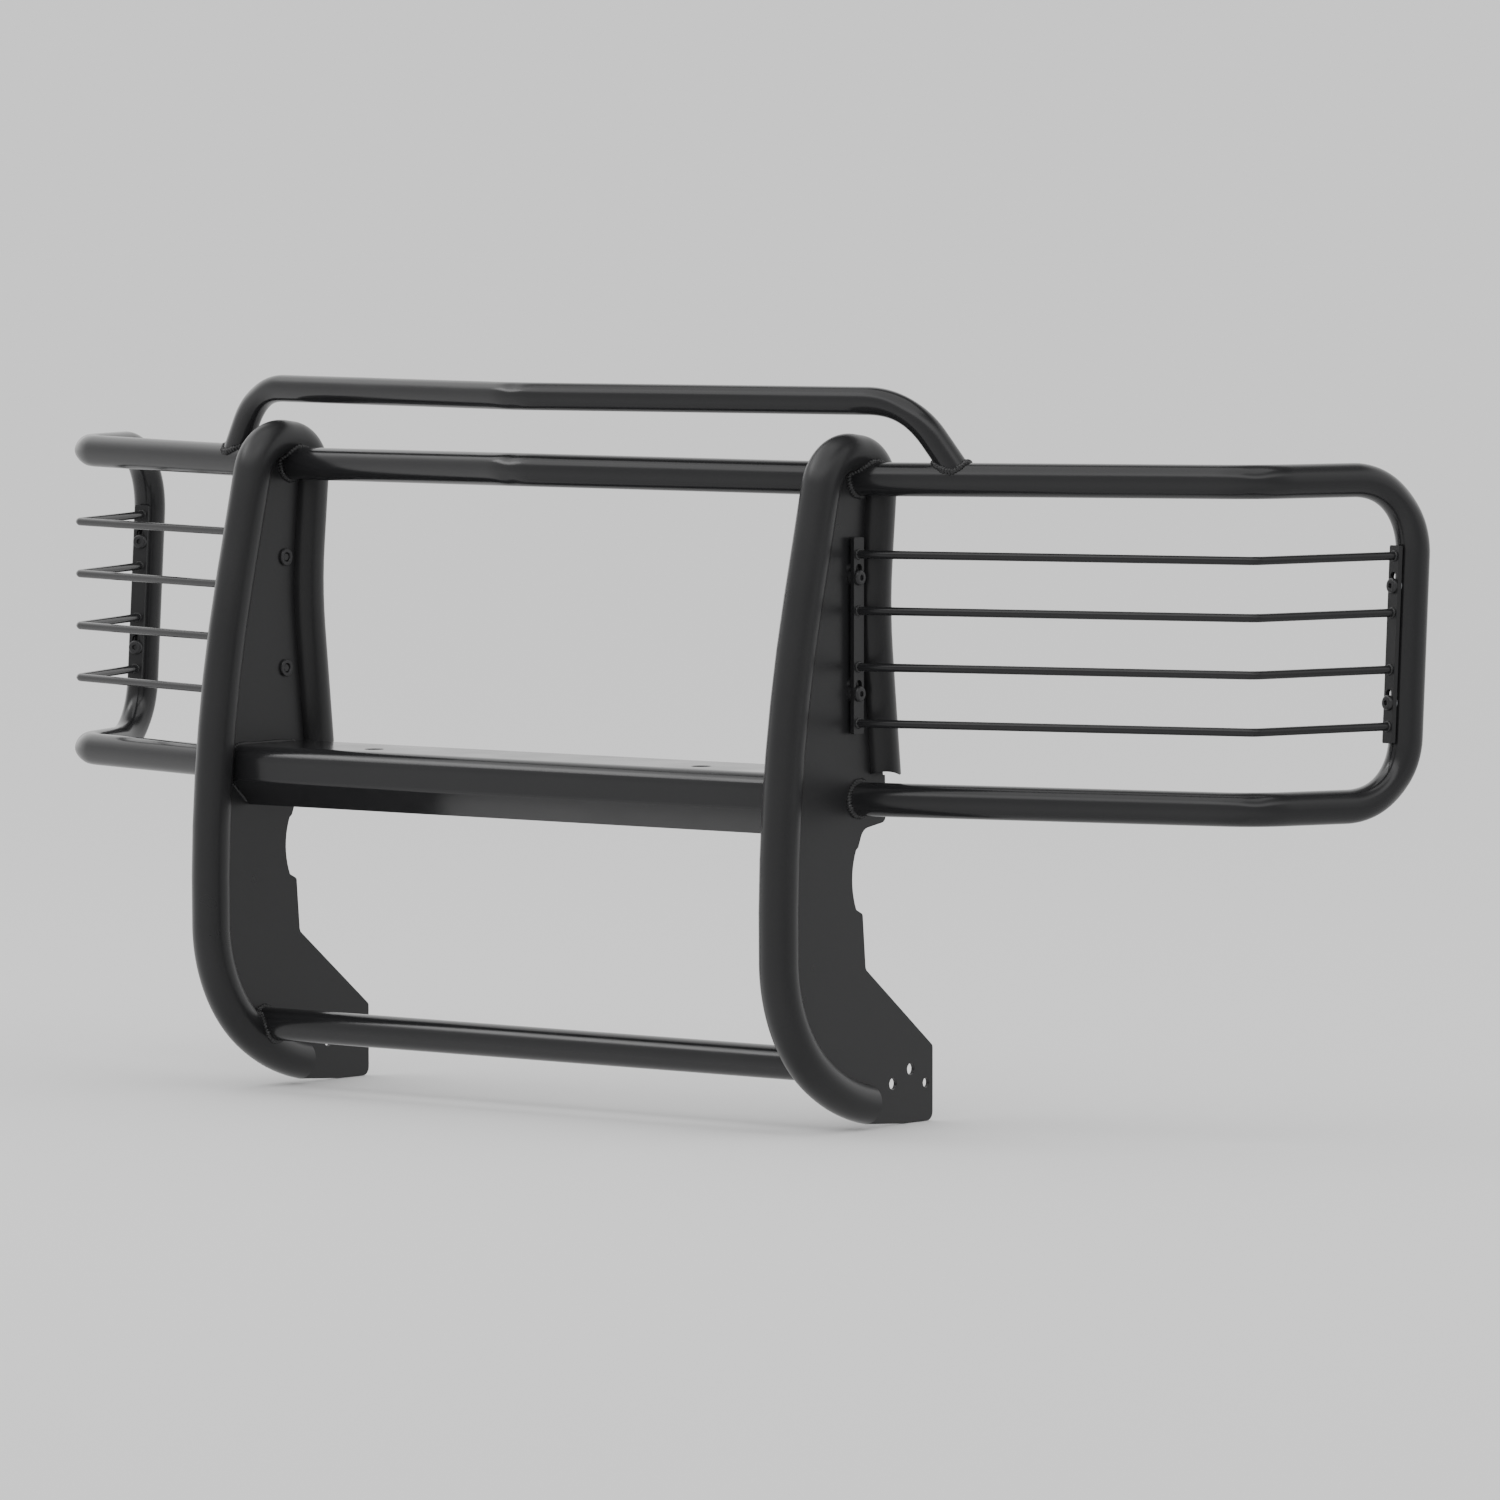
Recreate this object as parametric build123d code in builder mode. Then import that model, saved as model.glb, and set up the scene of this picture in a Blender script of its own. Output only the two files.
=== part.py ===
"""Front grille guard for a pickup truck.

Two uprights, each a flat plate inside a bent tube rim, carry two round cross tubes, a folded
light-bar channel, a bowed hoop on top and a wrap-around tube with four brush rods on each side.
Millimetres. +X is the right-hand side as seen from in front, -Y is forward and +Z is up. The
origin lies on the vehicle's centre line, level with the feet, halfway along the guard's depth.
"""

from build123d import *
from math import cos, radians, sin
import os

# ---- driving dimensions -------------------------------------------------------------------

UPRIGHT_X = 425.0          # each upright plate's middle plane, from the centre line
ROOT_Y = -92.31            # the tubes' root line on the plates, from the middle of the depth

TUBE_D = 38.1              # cross tubes and wing tubes
TUBE_WALL = 2.4
RIM_D = 44.45              # tube that edges each upright
RIM_WALL = 2.4
HOOP_D = 31.75             # top hoop
HOOP_WALL = 2.1
ROD_D = 9.5                # solid brush rods
PLATE_T = 4.8              # upright plates

UPPER_Z = 729.5            # height of the upper tubes
WING_RISE = 3.0            # the wing tube's upper run climbs this much to its bend
LOWER_Z = 371.0            # height of the wing tubes' lower run
CHANNEL_TOP_Z = 403.5      # top face of the light-bar channel
HOOP_Z = 817.0             # height of the hoop's top run
BOW = 90.0                 # how far the middle of the upper tube and hoop stand forward
BOW_RISE = 4.0             # how far the middle of the upper tube stands above its ends
BOW_RADIUS = 140.0         # bend at the middle of the upper tube and hoop

# Bent rim of an upright, from its rear end over the top to the foot. Lengths and radii of its
# straights and bends, in the upright's own plane (distance behind the root line, height).
RIM_END = (43.0, 396.0)    # centre of the rear leg's lower end
RIM_END_LEAN = 6.1         # degrees from upright there, leaning forward as it climbs
RIM_REAR_STRAIGHT = 139.9
RIM_REAR_RADIUS = 512.0
RIM_REAR_TURN = 11.2       # degrees
RIM_NECK_STRAIGHT = 80.9
RIM_SHOULDER_RADIUS = 38.0
RIM_SHOULDER_TURN = 88.0
RIM_TOP_STRAIGHT = 13.0
RIM_TOP_RADIUS = 50.0
RIM_TOP_TURN = 83.2
RIM_FRONT_STRAIGHT = 128.0
RIM_BELLY_RADIUS = 1500.0
RIM_BELLY_TURN = 15.5
RIM_CHIN_RADIUS = 166.0
RIM_CHIN_TURN = 53.5
RIM_FOOT_RADIUS = 226.0
RIM_FOOT_TURN = 23.9
RIM_COPE_RADIUS = 40.0     # saddle cut in the rear leg's lower end
RIM_COPE_DEPTH = 5.0
RIM_COPE_DIRECTION = 140.0  # degrees, the saddle's axis in plan

# Rear edge and foot of an upright plate (distance behind the root line, height)
PLATE_TAB = ((46.5, 396.0), (48.0, 343.5), (7.0, 337.0), (-1.5, 317.0), (-5.5, 314.0))
PLATE_WAIST = ((-5.5, 314.0), (-12.2, 285.0), (-5.0, 247.0))
PLATE_STEP = ((-5.0, 247.0), (6.5, 241.5), (12.0, 179.0), (134.0, 85.0), (134.0, 0.0))
FOOT_BREAK = (80.0, 0.0)   # where the bottom edge starts to rise to the rim
PLATE_CORNER_RADII = (    # corner and its radius
    (48.0, 343.5, 8.0),
    (7.0, 337.0, 16.0),
    (6.5, 241.5, 4.0),
    (12.0, 179.0, 8.0),
    (134.0, 85.0, 6.0),
    (134.0, 0.0, 10.0),
)

FRAME_HOLES = ((61.6, 46.2), (94.0, 60.8))   # bolts to the vehicle frame
FRAME_HOLE_D = 13.5
SERVICE_HOLE = (121.8, 43.3)                 # smaller single hole behind them
SERVICE_HOLE_D = 11.5

# Light-bar channel: outer face of its section (distance behind the root line, height)
CHANNEL_PROFILE = ((18.0, 403.5), (-112.0, 403.5), (-112.0, 363.0), (-76.0, 333.0))
CHANNEL_RADII = (18.0, 6.0)
CHANNEL_T = 3.0
LAMP_HOLE_X = 245.0
LAMP_HOLE_Y = -57.0        # behind the root line
LAMP_HOLE_D = 23.0

LOWER_CROSS = (-50.0, 74.5)                  # lower cross tube's centre
END_STOCK = 12.0           # extra length on a tube's end before it is coped

# Wing tube: corners of its centre line (from the centre line, behind the root line, height)
WING_BEND = (880.0, 131.0)
WING_CORNER_TOP = (951.0, 334.0)
WING_CORNER_LOW = (952.0, 311.0)
WING_BEND_RADIUS = 80.0
WING_CORNER_RADIUS = 80.0

HOOP_FOOT = (546.5, 35.0)  # where each hoop leg stands on a wing tube
HOOP_CORNER_X = 487.0
HOOP_RADIUS = 100.0

# Brush rods and the flat strips that carry them
ROD_COUNT = 4
ROD_TOP_Z = 646.0
ROD_PITCH = 63.0
ROD_BEND = (882.5, 126.0)
ROD_BEND_RADIUS = 16.0
ROD_SINK = 2.0             # a rod is run this far into its strip and trimmed flush
STRIP_W = 18.0
STRIP_L = 220.0
STRIP_T = 5.0
STRIP_CORNER = 2.0
BOLT_PITCH = 130.0
SLOT_L = 24.0
SLOT_W = 10.5
SLOT_SHIFT = 3.5           # the slots reach further above the bolts than below
INNER_STRIP_Y = -12.0
INNER_STRIP_Z = 555.0
OUTER_STRIP_Z = 548.0
OUTER_STRIP_TURN = 19.0    # degrees, how far the outer strips' faces turn to the side

# M10 button-head bolts and what they clamp
BOLT_D = 10.0
BOLT_HEAD_D = 17.5
BOLT_HEAD_H = 4.2
BOLT_DOME = 2.8
SOCKET_AF = 6.0
SOCKET_DEPTH = 2.6
BOLT_TIP = 1.0
INNER_BOLT_L = 15.5
OUTER_BOLT_L = 22.0
PRESS_NUT_D = 13.0          # shank pressed into the plate
SPACER_D = 20.0
SPACER_T = 4.0
THREAD_BORE_D = 10.2
PRESS_NUT_FLANGE_D = 20.4
PRESS_NUT_FLANGE_T = 3.2
PRESS_NUT_CHAMFER = 0.8
INSERT_FLANGE_D = 16.0
INSERT_FLANGE_T = 1.5
INSERT_D = 13.0
INSERT_L = 18.0
AF_TO_RADIUS = 1 / (2 * cos(radians(30)))    # hexagon's corner radius from its width across flats

SIDES = {"right": 1, "left": -1}
BOLT_STEPS = (-BOLT_PITCH / 2, BOLT_PITCH / 2)
BOLT_HEIGHTS = tuple(INNER_STRIP_Z + step for step in BOLT_STEPS)
INNER_FACE = SPACER_T + STRIP_T                      # strip's outer face above the plate
OUTER_FACE = TUBE_D / 2 + INSERT_FLANGE_T + STRIP_T  # strip's face above the wing tube's axis


# ---- helpers ------------------------------------------------------------------------------

def at(side: int, across: float, behind: float, height: float) -> Vector:
    """Point on one side, from the centre line, the root line and the feet."""
    return Vector(side * across, ROOT_Y + behind, height)


def past(end: Vector, neighbour: Vector) -> Vector:
    """Path end moved on, away from its neighbour, so that trimming leaves a clean joint."""
    return end + (end - neighbour).normalized() * END_STOCK


def upright_plane(side: int) -> Plane:
    """Plane of one upright: local x runs rearward from the root line, local y is height."""
    return Plane(origin=(side * UPRIGHT_X, ROOT_Y, 0), x_dir=(0, 1, 0), z_dir=(1, 0, 0))


def save(part: Part, name: str) -> None:
    """Label a finished piece and write it to its own STEP file."""
    part.label = name
    export_step(part, f"parts/{name}.step")


# ---- uprights -----------------------------------------------------------------------------

def rim_outline() -> Curve:
    """Rim's centre line drawn flat: rear leg, shoulder, flat crown, long front belly, foot."""
    with BuildLine() as line:
        up = Vector(-sin(radians(RIM_END_LEAN)), cos(radians(RIM_END_LEAN)))
        rear = Line(RIM_END, Vector(*RIM_END) + up * RIM_REAR_STRAIGHT)
        ease = JernArc(rear @ 1, rear % 1, RIM_REAR_RADIUS, -RIM_REAR_TURN)
        neck = Line(ease @ 1, ease @ 1 + (ease % 1) * RIM_NECK_STRAIGHT)
        shoulder = JernArc(neck @ 1, neck % 1, RIM_SHOULDER_RADIUS, RIM_SHOULDER_TURN)
        crown = Line(shoulder @ 1, shoulder @ 1 + (shoulder % 1) * RIM_TOP_STRAIGHT)
        top = JernArc(crown @ 1, crown % 1, RIM_TOP_RADIUS, RIM_TOP_TURN)
        front = Line(top @ 1, top @ 1 + (top % 1) * RIM_FRONT_STRAIGHT)
        belly = JernArc(front @ 1, front % 1, RIM_BELLY_RADIUS, RIM_BELLY_TURN)
        chin = JernArc(belly @ 1, belly % 1, RIM_CHIN_RADIUS, RIM_CHIN_TURN)
        JernArc(chin @ 1, chin % 1, RIM_FOOT_RADIUS, RIM_FOOT_TURN)
    return line.line


RIM_OUTLINE = rim_outline()


def tube_along(path, outer_d: float, wall: float = 0.0) -> Part:
    """Round tube along a path, or a solid bar where no wall is given."""
    with BuildPart() as tube:
        with BuildSketch(Plane(origin=path @ 0, z_dir=path % 0)):
            Circle(outer_d / 2)
            if wall > 0:
                Circle(outer_d / 2 - wall, mode=Mode.SUBTRACT)
        sweep(path=path)
    return tube.part


def make_rim(side: int, wall: float = 0.0) -> Part:
    """Bent tube rim, or its solid bar, with the saddle cut in its rear leg's lower end."""
    path = upright_plane(side).location * RIM_OUTLINE
    with BuildPart() as rim:
        add(tube_along(path, RIM_D, wall))
        end = at(side, UPRIGHT_X, *RIM_END)
        turn = radians(RIM_COPE_DIRECTION)
        axis = Vector(side * cos(turn), sin(turn), 0)
        low = end - Vector(0, 0, RIM_COPE_RADIUS - RIM_COPE_DEPTH) - axis * RIM_D
        with BuildSketch(Plane(origin=low, z_dir=axis)):
            Circle(RIM_COPE_RADIUS)
        extrude(amount=2 * RIM_D, mode=Mode.SUBTRACT)
    return rim.part


def make_plate(side: int, rim_bar: Part) -> Part:
    """Upright plate: fills the rim, steps back behind it and widens into the frame foot."""
    foot = RIM_OUTLINE @ 1
    foot_normal = (RIM_OUTLINE % 1).rotate(Axis.Z, -90)
    with BuildPart() as plate:
        with BuildSketch(upright_plane(side).offset(-PLATE_T / 2)) as face:
            with BuildLine():
                add(RIM_OUTLINE)
                Polyline(RIM_END, *PLATE_TAB)
                ThreePointArc(*PLATE_WAIST)
                Polyline(*PLATE_STEP, FOOT_BREAK, foot + foot_normal * (RIM_D / 2), foot)
            make_face()
            for behind, height, radius in PLATE_CORNER_RADII:
                corner = face.vertices().sort_by_distance((behind, height))[0]
                fillet(corner, radius)
            with Locations(*FRAME_HOLES):
                Circle(FRAME_HOLE_D / 2, mode=Mode.SUBTRACT)
            with Locations(SERVICE_HOLE):
                Circle(SERVICE_HOLE_D / 2, mode=Mode.SUBTRACT)
            with Locations(*((INNER_STRIP_Y, z) for z in BOLT_HEIGHTS)):
                Circle(PRESS_NUT_D / 2, mode=Mode.SUBTRACT)
        extrude(amount=PLATE_T)
        add(rim_bar, mode=Mode.SUBTRACT)
    return plate.part


# ---- tubes and channel between the uprights -------------------------------------------------

def trimmed(part: Part, *cutters: Part) -> Part:
    """Piece with its ends coped to what it is welded to, and the cut-off stubs dropped."""
    with BuildPart() as piece:
        add(part)
        for cutter in cutters:
            add(cutter, mode=Mode.SUBTRACT)
    return Part(piece.solids().sort_by(SortBy.VOLUME)[-1].wrapped)


def make_upper_cross() -> Part:
    """Upper cross tube, bowed forward at the middle."""
    middle = at(1, 0, -BOW, UPPER_Z + BOW_RISE)
    with BuildLine() as path:
        FilletPolyline(
            past(at(-1, UPRIGHT_X, 0, UPPER_Z), middle),
            middle,
            past(at(1, UPRIGHT_X, 0, UPPER_Z), middle),
            radius=BOW_RADIUS,
        )
    return tube_along(path.line, TUBE_D, TUBE_WALL)


def make_lower_cross() -> Part:
    """Straight lower cross tube."""
    reach = UPRIGHT_X - PLATE_T / 2
    with BuildPart() as tube:
        with BuildSketch(Plane(origin=at(-1, reach, *LOWER_CROSS), z_dir=(1, 0, 0))):
            Circle(TUBE_D / 2)
            Circle(TUBE_D / 2 - TUBE_WALL, mode=Mode.SUBTRACT)
        extrude(amount=2 * reach)
    return tube.part


def make_channel() -> Part:
    """Folded sheet channel for lamps: flat top, upright front, lower lip folded back."""
    reach = UPRIGHT_X - PLATE_T / 2
    section = Plane(origin=at(-1, reach, 0, 0), x_dir=(0, 1, 0), z_dir=(1, 0, 0))
    with BuildPart() as channel:
        with BuildSketch(section):
            with BuildLine():
                FilletPolyline(*CHANNEL_PROFILE, radius=CHANNEL_RADII)
                offset(amount=CHANNEL_T, side=Side.LEFT, closed=True)
            make_face()
        extrude(amount=2 * reach)
        with BuildSketch(Plane.XY.offset(CHANNEL_TOP_Z)):
            with Locations(*((x, ROOT_Y + LAMP_HOLE_Y) for x in (-LAMP_HOLE_X, LAMP_HOLE_X))):
                Circle(LAMP_HOLE_D / 2)
        extrude(amount=-2 * CHANNEL_T, mode=Mode.SUBTRACT)
    return channel.part


def make_hoop() -> Part:
    """Top hoop: bowed top run with two legs splayed down onto the wing tubes."""
    corner_y = BOW * (HOOP_CORNER_X / UPRIGHT_X - 1)
    with BuildLine() as path:
        FilletPolyline(
            at(-1, *HOOP_FOOT, UPPER_Z),
            at(-1, HOOP_CORNER_X, corner_y, HOOP_Z),
            at(1, 0, -BOW, HOOP_Z),
            at(1, HOOP_CORNER_X, corner_y, HOOP_Z),
            at(1, *HOOP_FOOT, UPPER_Z),
            radius=(HOOP_RADIUS, BOW_RADIUS, HOOP_RADIUS),
        )
    return tube_along(path.line, HOOP_D, HOOP_WALL)


# ---- wings --------------------------------------------------------------------------------

def wing_path(side: int):
    """Wing tube's centre line: out and back along the top, down, and forward to the plate."""
    high = UPPER_Z + WING_RISE
    with BuildLine() as path:
        FilletPolyline(
            past(at(side, UPRIGHT_X, 0, UPPER_Z), at(side, *WING_BEND, high)),
            at(side, *WING_BEND, high),
            at(side, *WING_CORNER_TOP, high),
            at(side, *WING_CORNER_LOW, LOWER_Z),
            at(side, *WING_BEND, LOWER_Z),
            past(at(side, UPRIGHT_X, 0, LOWER_Z), at(side, *WING_BEND, LOWER_Z)),
            radius=(WING_BEND_RADIUS, WING_CORNER_RADIUS, WING_CORNER_RADIUS, WING_BEND_RADIUS),
        )
    return path.line


def outer_strip_plane(side: int) -> Plane:
    """Plane on the wing's upright run: local y climbs it and z points forward to the rods."""
    top = at(side, *WING_CORNER_TOP, UPPER_Z + WING_RISE)
    low = at(side, *WING_CORNER_LOW, LOWER_Z)
    climb = (top - low).normalized()
    middle = low + climb * ((OUTER_STRIP_Z - LOWER_Z) / climb.Z)
    turn = radians(OUTER_STRIP_TURN)
    facing = Vector(-side * sin(turn), -cos(turn), 0)
    facing = (facing - climb * facing.dot(climb)).normalized()
    return Plane(origin=middle, x_dir=climb.cross(facing), z_dir=facing)


def inner_strip_plane(side: int) -> Plane:
    """Plane on an upright plate's outboard face, at the middle of the inner strip."""
    face = UPRIGHT_X + PLATE_T / 2
    return Plane(
        origin=at(side, face, INNER_STRIP_Y, INNER_STRIP_Z), x_dir=(0, side, 0), z_dir=(side, 0, 0)
    )


def make_strip(seat: Plane, stand_off: float) -> Part:
    """Flat strip with two upright bolt slots, standing off its seat."""
    with BuildPart() as strip:
        with BuildSketch(seat.offset(stand_off)):
            RectangleRounded(STRIP_W, STRIP_L, STRIP_CORNER)
            with Locations(*((0, SLOT_SHIFT + y) for y in BOLT_STEPS)):
                SlotOverall(SLOT_L, SLOT_W, rotation=90, mode=Mode.SUBTRACT)
        extrude(amount=STRIP_T)
    return strip.part


def make_rod(side: int, height: float) -> Part:
    """One brush rod: straight from the inner strip, a sharp bend, back to the outer strip."""
    inner = inner_strip_plane(side)
    start = Vector(inner.origin.X, inner.origin.Y, height)
    start = start + inner.z_dir * (INNER_FACE - ROD_SINK)
    outer = outer_strip_plane(side)
    climb = outer.y_dir
    finish = outer.origin + climb * ((height - outer.origin.Z) / climb.Z)
    finish = finish + outer.z_dir * (OUTER_FACE - ROD_SINK)
    with BuildLine() as path:
        FilletPolyline(start, at(side, *ROD_BEND, height), finish, radius=ROD_BEND_RADIUS)
    return tube_along(path.line, ROD_D)


# ---- fasteners ----------------------------------------------------------------------------

def outward(seat: Plane) -> Axis:
    """Axis along a seat's outward direction."""
    return Axis(seat.origin, seat.z_dir)


def make_bolts(seat: Plane, head_height: float, length: float) -> Part:
    """Pair of button-head bolts with hexagon sockets, heads on a face above the seat."""
    under = seat.offset(head_height)
    with BuildPart() as bolts:
        with BuildSketch(under):
            with Locations(*((0, y) for y in BOLT_STEPS)):
                Circle(BOLT_HEAD_D / 2)
        extrude(amount=BOLT_HEAD_H)
        rims = bolts.edges().filter_by(GeomType.CIRCLE).sort_by(outward(seat))[-2:]
        fillet(rims, BOLT_DOME)
        with BuildSketch(under.offset(BOLT_HEAD_H - SOCKET_DEPTH)):
            with Locations(*((0, y) for y in BOLT_STEPS)):
                RegularPolygon(SOCKET_AF * AF_TO_RADIUS, 6)
        extrude(amount=SOCKET_DEPTH, mode=Mode.SUBTRACT)
        with BuildSketch(under):
            with Locations(*((0, y) for y in BOLT_STEPS)):
                Circle(BOLT_D / 2)
        extrude(amount=-length)
        tips = bolts.edges().filter_by(GeomType.CIRCLE).sort_by(outward(seat))[:2]
        chamfer(tips, BOLT_TIP)
    return bolts.part


def make_spacers(seat: Plane) -> Part:
    """Pair of washers that hold an inner strip off its plate."""
    with BuildPart() as spacers:
        with BuildSketch(seat):
            with Locations(*((0, y) for y in BOLT_STEPS)):
                Circle(SPACER_D / 2)
                Circle(THREAD_BORE_D / 2, mode=Mode.SUBTRACT)
        extrude(amount=SPACER_T)
    return spacers.part


def make_press_nuts(seat: Plane) -> Part:
    """Pair of round nuts pressed into the plate from its far face, flange and shank."""
    back = seat.offset(-PLATE_T)
    with BuildPart() as nuts:
        with BuildSketch(back):
            with Locations(*((0, y) for y in BOLT_STEPS)):
                Circle(PRESS_NUT_FLANGE_D / 2)
        extrude(amount=-PRESS_NUT_FLANGE_T)
        rims = nuts.edges().filter_by(GeomType.CIRCLE).sort_by(outward(seat))[:2]
        chamfer(rims, PRESS_NUT_CHAMFER)
        with BuildSketch(back):
            with Locations(*((0, y) for y in BOLT_STEPS)):
                Circle(PRESS_NUT_D / 2)
        extrude(amount=PLATE_T)
        with BuildSketch(seat):
            with Locations(*((0, y) for y in BOLT_STEPS)):
                Circle(THREAD_BORE_D / 2)
        extrude(amount=-PLATE_T - PRESS_NUT_FLANGE_T, mode=Mode.SUBTRACT)
    return nuts.part


def make_inserts(seat: Plane) -> Part:
    """Pair of flanged threaded inserts set in the wing tube behind an outer strip."""
    skin = seat.offset(TUBE_D / 2)
    with BuildPart() as inserts:
        with BuildSketch(skin):
            with Locations(*((0, y) for y in BOLT_STEPS)):
                Circle(INSERT_FLANGE_D / 2)
        extrude(amount=INSERT_FLANGE_T)
        with BuildSketch(skin):
            with Locations(*((0, y) for y in BOLT_STEPS)):
                Circle(INSERT_D / 2)
        extrude(amount=-INSERT_L)
        with BuildSketch(skin.offset(INSERT_FLANGE_T)):
            with Locations(*((0, y) for y in BOLT_STEPS)):
                Circle(THREAD_BORE_D / 2)
        extrude(amount=-INSERT_FLANGE_T - INSERT_L, mode=Mode.SUBTRACT)
    return inserts.part


def make_wing(side: int) -> Part:
    """Wing tube with the two holes that its threaded inserts sit in."""
    with BuildPart() as wing:
        add(tube_along(wing_path(side), TUBE_D, TUBE_WALL))
        with BuildSketch(outer_strip_plane(side)):
            with Locations(*((0, y) for y in BOLT_STEPS)):
                Circle(INSERT_D / 2)
        extrude(amount=TUBE_D, mode=Mode.SUBTRACT)
    return wing.part


# ---- assembly -----------------------------------------------------------------------------

os.makedirs("parts", exist_ok=True)

cutters = []
wings = []
for side_name, side in SIDES.items():
    rim_bar = make_rim(side)
    plate = make_plate(side, rim_bar)
    wing = trimmed(make_wing(side), rim_bar, plate)
    cutters += [rim_bar, plate]
    wings.append(wing)
    save(make_rim(side, RIM_WALL), f"{side_name}_upright_rim")
    save(plate, f"{side_name}_upright_plate")
    save(wing, f"{side_name}_wing_tube")

    inner = inner_strip_plane(side)
    outer = outer_strip_plane(side)
    inner_strip = make_strip(inner, SPACER_T)
    outer_strip = make_strip(outer, TUBE_D / 2 + INSERT_FLANGE_T)
    save(inner_strip, f"{side_name}_inner_strip")
    save(outer_strip, f"{side_name}_outer_strip")
    for number in range(ROD_COUNT):
        rod = make_rod(side, ROD_TOP_Z - number * ROD_PITCH)
        save(trimmed(rod, inner_strip, outer_strip), f"{side_name}_brush_rod_{number + 1}")

    save(make_bolts(inner, INNER_FACE, INNER_BOLT_L), f"{side_name}_inner_bolts")
    save(make_spacers(inner), f"{side_name}_spacer_washers")
    save(make_press_nuts(inner), f"{side_name}_press_nuts")
    save(make_bolts(outer, OUTER_FACE, OUTER_BOLT_L), f"{side_name}_outer_bolts")
    save(make_inserts(outer), f"{side_name}_threaded_inserts")

save(trimmed(make_upper_cross(), *cutters), "upper_cross_tube")
save(trimmed(make_lower_cross(), *cutters), "lower_cross_tube")
save(trimmed(make_channel(), *cutters), "light_bar_channel")
wing_bars = [tube_along(wing_path(side), TUBE_D) for side in SIDES.values()]
save(trimmed(make_hoop(), *wing_bars), "top_hoop")
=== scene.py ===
"""Looks of a front grille guard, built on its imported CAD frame.

The guard is welded from bent steel tube, plate and folded sheet and powder coated black. Plates,
channel, strips, washers and inserts keep their CAD shapes and get a finish. Tubes, rods, bolts
and nuts are rebuilt as smooth swept and turned surfaces with crush marks at their bends, and
every welded joint gets its rippled bead. All sizes are in metres, in the CAD frame: +X is the
right-hand side seen from in front, -Y is forward and +Z is up.
"""

import logging
from dataclasses import dataclass
from enum import Enum
from math import ceil, cos, pi, radians, sin, tan
from typing import Callable, ClassVar

import bpy
import numpy as np
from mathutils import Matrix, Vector


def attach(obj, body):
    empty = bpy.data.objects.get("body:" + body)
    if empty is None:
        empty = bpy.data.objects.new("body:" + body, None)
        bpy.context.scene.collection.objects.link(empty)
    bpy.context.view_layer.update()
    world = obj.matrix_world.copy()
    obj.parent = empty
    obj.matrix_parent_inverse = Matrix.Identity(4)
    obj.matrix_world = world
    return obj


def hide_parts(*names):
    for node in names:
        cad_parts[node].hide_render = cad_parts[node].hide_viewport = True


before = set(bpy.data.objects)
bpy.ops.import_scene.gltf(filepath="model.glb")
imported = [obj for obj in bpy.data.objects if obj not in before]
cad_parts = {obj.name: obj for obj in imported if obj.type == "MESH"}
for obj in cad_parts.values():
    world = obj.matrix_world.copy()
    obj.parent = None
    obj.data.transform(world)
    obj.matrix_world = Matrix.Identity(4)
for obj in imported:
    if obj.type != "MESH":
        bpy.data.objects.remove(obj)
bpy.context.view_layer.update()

log = logging.getLogger("grille_guard")

BODY = "root"
MM = 0.001


class Side(Enum):
    """The two halves of the guard, by the sign of X."""

    RIGHT = 1
    LEFT = -1

    @property
    def label(self) -> str:
        """Name that the CAD nodes of this side start with."""
        return self.name.lower()


class Slot(Enum):
    """Material slots of the record, passed along with new pieces but not read."""

    COAT = "black_powder_coat"
    FASTENER = "black_fasteners"


def unit(vector: np.ndarray) -> np.ndarray:
    """Vectors scaled to length one along their last axis."""
    return vector / np.linalg.norm(vector, axis=-1, keepdims=True)


# ---- surfaces -----------------------------------------------------------------------------


@dataclass(frozen=True)
class Patch:
    """Grid of points that makes one closed surface.

    Rows run along a path and columns run round it. A ring-shaped grid joins its last row to its
    first; any other grid is closed by a flat face over its first and last rows.
    """

    points: np.ndarray
    ring: bool = False

    def faces(self, first: int) -> tuple[list, list]:
        """Quads of the grid and its end faces.

        Args:
            first: number of the grid's first point in the whole mesh.

        Returns:
            The quads, and the end faces with one corner per column.
        """
        rows, columns = self.points.shape[:2]
        row = np.arange(rows if self.ring else rows - 1)[:, None]
        column = np.arange(columns)[None, :]
        after = (column + 1) % columns
        below = (row + 1) % rows
        row, below = row * columns, below * columns
        quads = np.stack([row + column, row + after, below + after, below + column], axis=-1).reshape(-1, 4)
        ends = []
        if not self.ring:
            around = np.arange(columns)
            ends = [around[::-1] + first, around + (rows - 1) * columns + first]
        return (quads + first).tolist(), [end.tolist() for end in ends]


def make_piece(name: str, patches: list[Patch], crease: float = 40.0) -> bpy.types.Object:
    """One mesh object from its patches, smooth but for edges sharper than the crease.

    Args:
        name: the object's name.
        patches: the closed surfaces that it is made of.
        crease: degrees between two faces above which their edge stays sharp.

    Returns:
        The object, linked to the scene.
    """
    faces: list = []
    first = 0
    for patch in patches:
        quads, ends = patch.faces(first)
        faces += quads + ends
        first += patch.points.shape[0] * patch.points.shape[1]
    points = np.concatenate([patch.points.reshape(-1, 3) for patch in patches])
    mesh = bpy.data.meshes.new(name)
    mesh.from_pydata(points.tolist(), [], faces)
    mesh.polygons.foreach_set("use_smooth", np.ones(len(mesh.polygons), bool))
    mesh.set_sharp_from_angle(angle=radians(crease))
    mesh.update()
    piece = bpy.data.objects.new(name, mesh)
    bpy.context.scene.collection.objects.link(piece)
    return piece


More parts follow.
